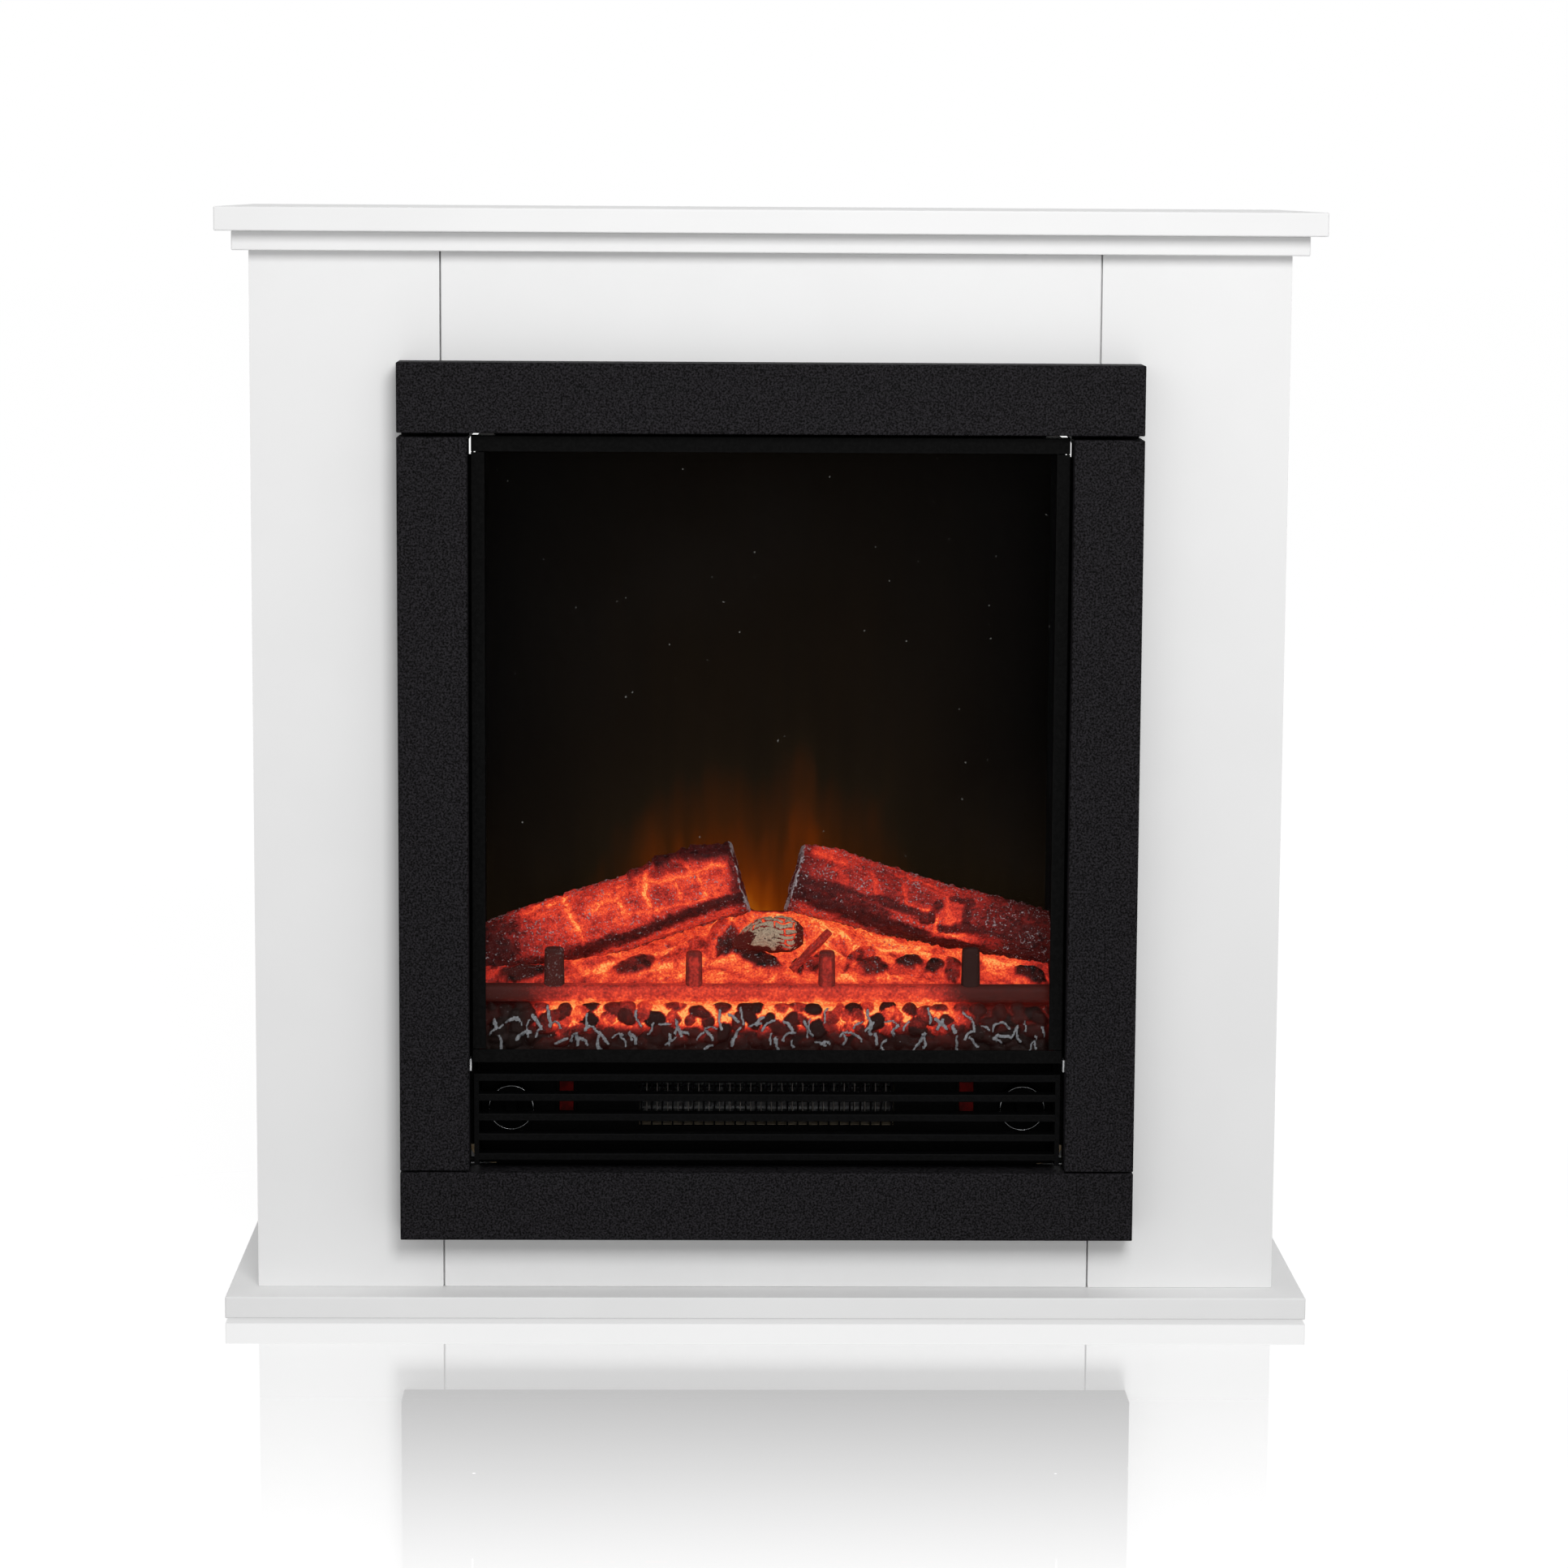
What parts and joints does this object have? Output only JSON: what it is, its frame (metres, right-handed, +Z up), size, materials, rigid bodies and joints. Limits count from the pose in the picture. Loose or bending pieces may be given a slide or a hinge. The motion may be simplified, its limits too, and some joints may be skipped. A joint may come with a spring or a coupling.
{
  "type": "electric fireplace",
  "caption": "Freestanding white surround with an inset log-effect electric fire behind glass, fan heater, knobs and rocker switches behind a drop-down louvred flap.",
  "frame": {"origin": "on the floor, under the middle of the whole object's box", "axes": "+Z up, the front faces -Y, +X to the right seen from the front"},
  "size_m": [0.74, 0.27, 0.7555],
  "materials": {
    "white_board": "satin white foil on fibreboard",
    "raw_board": "uncoated board",
    "pine": "sawn",
    "grey_plastic": "matt",
    "zinc": "zinc plated",
    "black_trim": "fine-textured black powder coat",
    "black_sheet": "satin black",
    "glass": "clear toughened",
    "ember_resin": "translucent, painted, lit from inside",
    "log_resin": "translucent, painted as charred bark",
    "pale_log_resin": "painted as pale bark",
    "grate_resin": "translucent, painted dark",
    "smoked_screen": "smoked diffuser",
    "bright_sheet": "bright",
    "motor_steel": "galvanised",
    "bronze": "sintered bronze",
    "circuit_board": "solder resist",
    "control_plastic": "moulded",
    "knob_plastic": "satin black with a chrome ring",
    "switch_plastic": "moulded black",
    "red_rocker": "translucent red, lit",
    "mica": "mica board",
    "resistance_ribbon": "bare ribbon",
    "rotor_aluminium": "pressed",
    "gland_plastic": "moulded nylon",
    "flap_plastic": "satin black"
  },
  "bodies": {
    "surround": {"base_plate": "white_board", "floor_glides": "grey_plastic", "left_side_panel": "white_board", "right_side_panel": "white_board", "left_pilaster": "white_board", "right_pilaster": "white_board", "centre_panel": "white_board", "cornice_board": "white_board", "mantel_shelf": "white_board", "back_top_rail": "raw_board", "back_bottom_rail": "raw_board", "corner_blocks": "pine", "block_screws": "zinc", "trim_top_bar": "black_trim", "trim_bottom_bar": "black_trim", "trim_left_bar": "black_trim", "trim_right_bar": "black_trim", "glass_left_strip": "black_sheet", "glass_right_strip": "black_sheet", "glass_top_strip": "black_sheet", "glass_ledge": "black_sheet", "glass_pane": "glass", "rear_casing": "black_sheet", "top_cover": "black_sheet", "floor_pan": "black_sheet", "chamber_deck": "black_sheet", "casing_screws": "zinc", "ember_bed": "ember_resin", "left_log": "log_resin", "right_log": "log_resin", "stub_log": "pale_log_resin", "grate": "grate_resin", "flame_screen": "smoked_screen", "flame_cutout_plate": "bright_sheet", "spindle_motor": "motor_steel", "spindle_bush": "bronze", "led_boards": "circuit_board", "control_panel": "black_sheet", "thermostat": "control_plastic", "flame_dimmer": "motor_steel", "heat_switch_case": "switch_plastic", "light_switch_case": "switch_plastic", "outlet_guard": "black_sheet", "element_frame": "mica", "heating_element": "resistance_ribbon", "blower_scroll": "motor_steel", "blower_motor": "motor_steel", "rotor_bush": "bronze", "thermal_cutout": "control_plastic", "terminal_block": "control_plastic", "cable_gland": "gland_plastic", "magnet_catches": "zinc"},
    "flap": {"grille_flap": "flap_plastic", "flap_pins": "black_sheet"},
    "heat_knob_body": {"heat_knob": "knob_plastic"},
    "flame_knob_body": {"flame_knob": "knob_plastic"},
    "heat_rocker_body": {"heat_rocker": "red_rocker"},
    "light_rocker_body": {"light_rocker": "red_rocker"},
    "fan": {"blower_rotor": "rotor_aluminium"},
    "flicker": {"flicker_spindle": "bright_sheet"}
  },
  "joints": [
    {"name": "flap_hinge", "type": "hinge", "parent": "surround", "child": "flap", "pos_m": [0, -0.1195, 0.1095], "axis": [1, 0, 0], "range_deg": [0, 90]},
    {"name": "heat_knob_turn", "type": "hinge", "parent": "surround", "child": "heat_knob_body", "pos_m": [-0.1755, -0.107, 0.143], "axis": [0, 1, 0], "range_deg": [0, 270]},
    {"name": "flame_knob_turn", "type": "hinge", "parent": "surround", "child": "flame_knob_body", "pos_m": [0.1755, -0.107, 0.143], "axis": [0, 1, 0], "range_deg": [0, 300]},
    {"name": "heat_rocker_tilt", "type": "hinge", "parent": "surround", "child": "heat_rocker_body", "pos_m": [-0.138, -0.0885, 0.148], "axis": [1, 0, 0], "range_deg": [0, 18]},
    {"name": "light_rocker_tilt", "type": "hinge", "parent": "surround", "child": "light_rocker_body", "pos_m": [0.138, -0.0885, 0.148], "axis": [1, 0, 0], "range_deg": [0, 18]},
    {"name": "fan_spin", "type": "hinge", "parent": "surround", "child": "fan", "pos_m": [0, -0.005, 0.141], "axis": [1, 0, 0], "continuous": true},
    {"name": "flicker_spin", "type": "hinge", "parent": "surround", "child": "flicker", "pos_m": [0, 0.036, 0.225], "axis": [1, 0, 0], "continuous": true}
  ]
}
